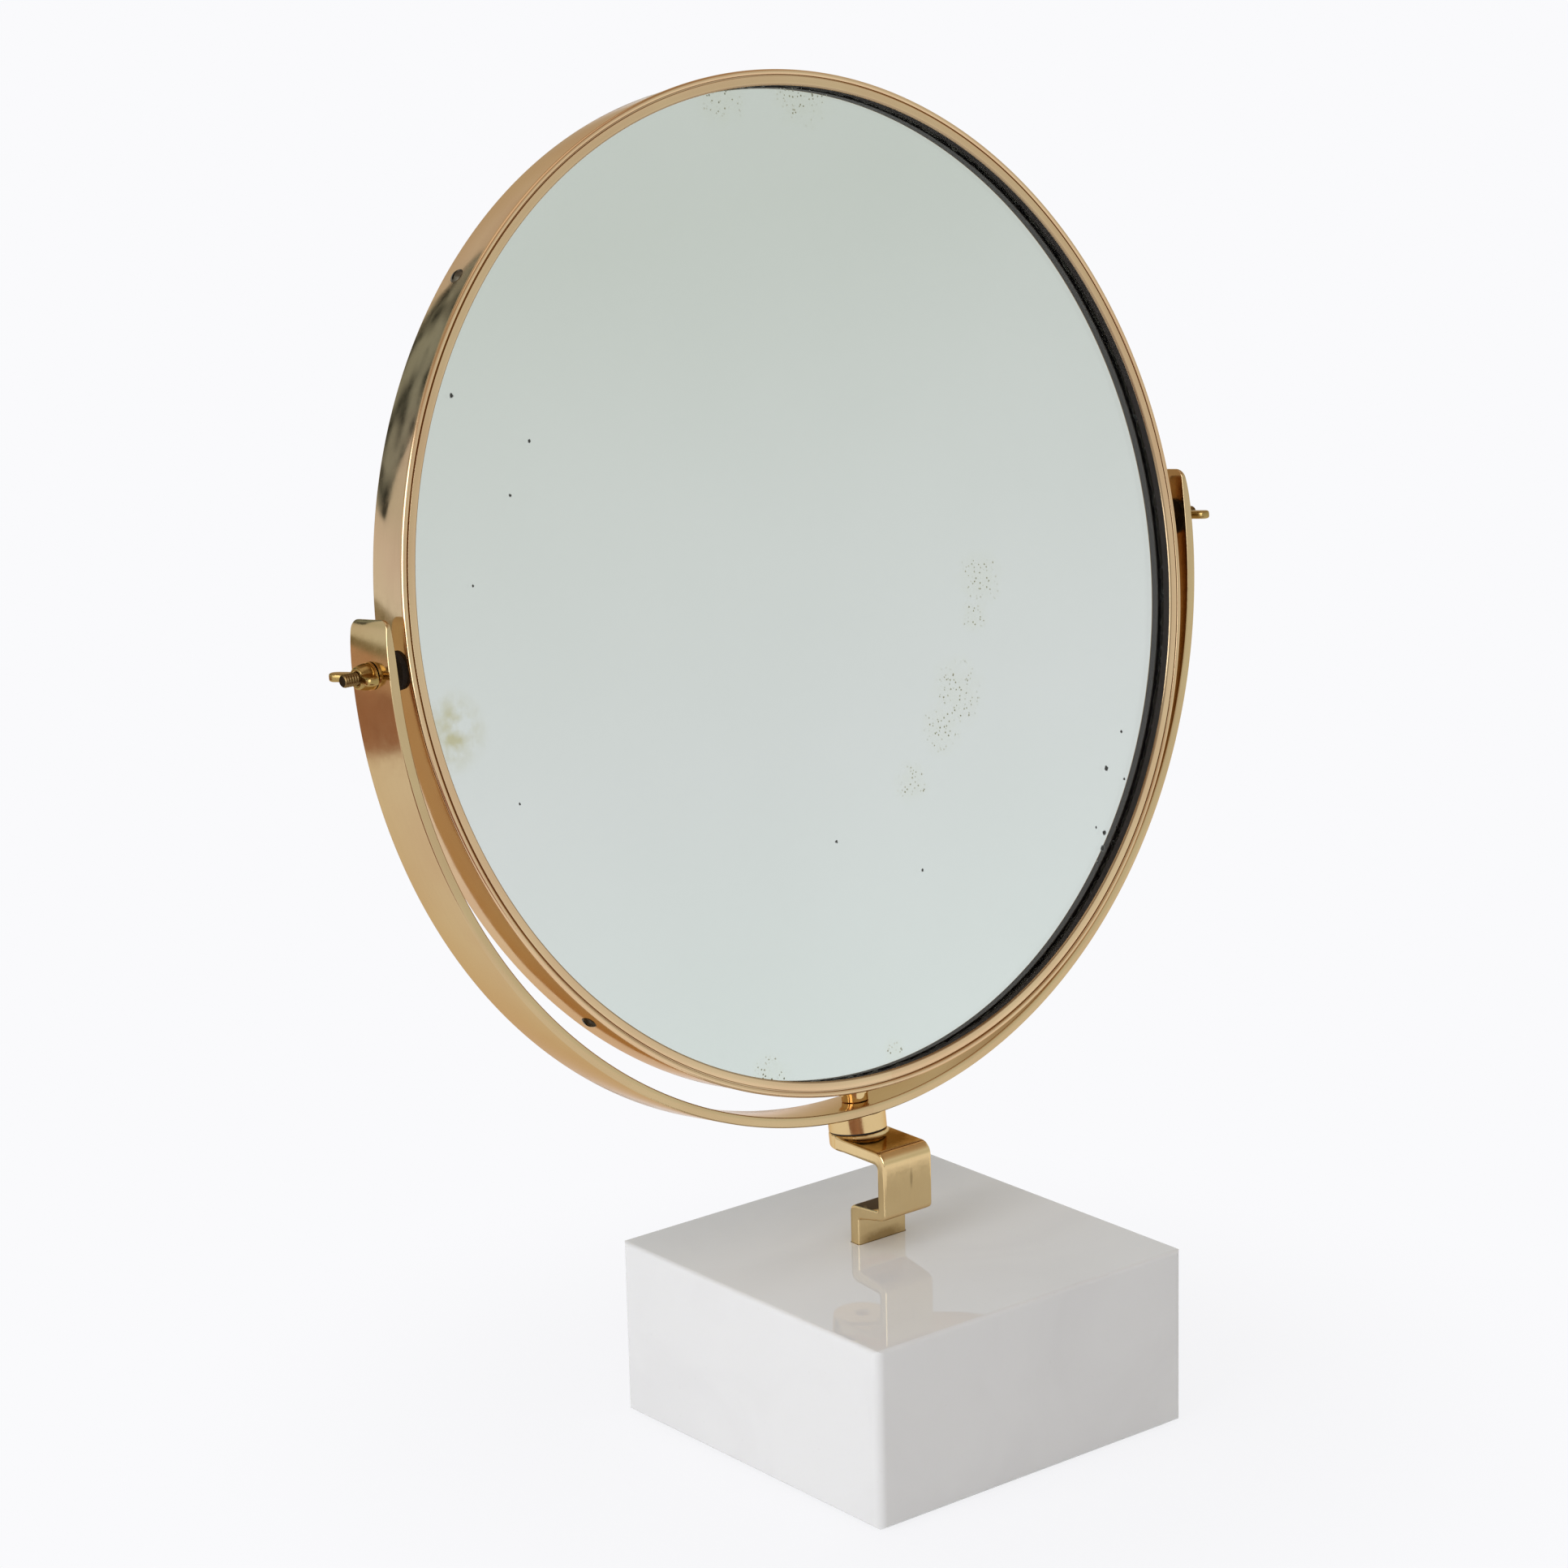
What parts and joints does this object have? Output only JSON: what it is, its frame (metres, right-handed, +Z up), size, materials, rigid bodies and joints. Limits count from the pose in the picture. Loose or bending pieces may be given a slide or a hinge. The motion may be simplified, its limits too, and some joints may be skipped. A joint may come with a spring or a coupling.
{
  "type": "table mirror",
  "caption": "Round brass table mirror that tips between wing nuts in a half-round hoop, which swivels on a cast neck set in a square marble block.",
  "frame": {"origin": "middle of the underside of the felt under the marble block", "axes": "+Z up, -Y towards the person who faces the glass, +X to that person's right"},
  "size_m": [0.4274, 0.1723, 0.5115],
  "materials": {
    "marble": "polished",
    "felt": "matt felt",
    "cast_brass": "polished, aged",
    "bar_brass": "lacquered, aged",
    "frame_brass": "lacquered, aged",
    "bezel_brass": "satin lacquer",
    "turned_brass": "turned, polished",
    "zinc_steel": "zinc plated",
    "dark_steel": "blackened",
    "rubber": "matt",
    "fibre": "matt fibre",
    "silvered_glass": "silvered, slightly spotted",
    "card": "plain",
    "board": "raw board",
    "back_paint": "satin black paint"
  },
  "bodies": {
    "stand": {"marble_base": "marble", "felt_pad": "felt", "neck": "cast_brass", "base_washer": "zinc_steel", "base_spring_washer": "zinc_steel", "base_nut": "zinc_steel", "swivel_screw": "turned_brass", "swivel_head_washer": "turned_brass", "swivel_friction_washer": "fibre"},
    "hoop": {"hoop": "bar_brass", "swivel_collar": "turned_brass"},
    "mirror": {"frame_band": "frame_brass", "bezel_ring": "bezel_brass", "glass_gasket": "rubber", "mirror_glass": "silvered_glass", "backing_sheet": "card", "backing_board": "board", "back_cover": "back_paint", "board_screws": "dark_steel", "left_pivot_stud": "turned_brass", "right_pivot_stud": "turned_brass", "left_spacer": "turned_brass", "right_spacer": "turned_brass", "left_rubber_washer": "rubber", "right_rubber_washer": "rubber"},
    "left_clamp": {"left_clamp_washer": "turned_brass"},
    "left_nut": {"left_wing_nut": "turned_brass"},
    "right_clamp": {"right_clamp_washer": "turned_brass"},
    "right_nut": {"right_wing_nut": "turned_brass"}
  },
  "joints": [
    {"name": "hoop_swivel", "type": "hinge", "parent": "stand", "child": "hoop", "pos_m": [0, 0.0238, 0.1113], "axis": [0, 0.1236, 0.9923], "continuous": true},
    {"name": "mirror_tilt", "type": "hinge", "parent": "hoop", "child": "mirror", "pos_m": [0, 0.04972, 0.31944], "axis": [0.999, 0.0444, -0.0108], "range_deg": [-170, 170]},
    {"name": "left_washer_travel", "type": "slide", "parent": "mirror", "child": "left_clamp", "axis": [-0.999, -0.0444, 0.0108], "range_m": [0, 0.0022]},
    {"name": "left_nut_turn", "type": "hinge", "parent": "left_clamp", "child": "left_nut", "pos_m": [-0.20119, 0.04079, 0.32162], "axis": [-0.999, -0.0444, 0.0108], "range_deg": [0, 720]},
    {"name": "right_washer_travel", "type": "slide", "parent": "mirror", "child": "right_clamp", "axis": [0.999, 0.0444, -0.0108], "range_m": [0, 0.0022]},
    {"name": "right_nut_turn", "type": "hinge", "parent": "right_clamp", "child": "right_nut", "pos_m": [0.20119, 0.05866, 0.31727], "axis": [0.999, 0.0444, -0.0108], "range_deg": [0, 720]}
  ],
  "couplings": [
    {"joint": "left_washer_travel", "follows": "left_nut_turn", "m_per_rad": 0.00016839},
    {"joint": "right_washer_travel", "follows": "right_nut_turn", "m_per_rad": 0.00016839}
  ]
}
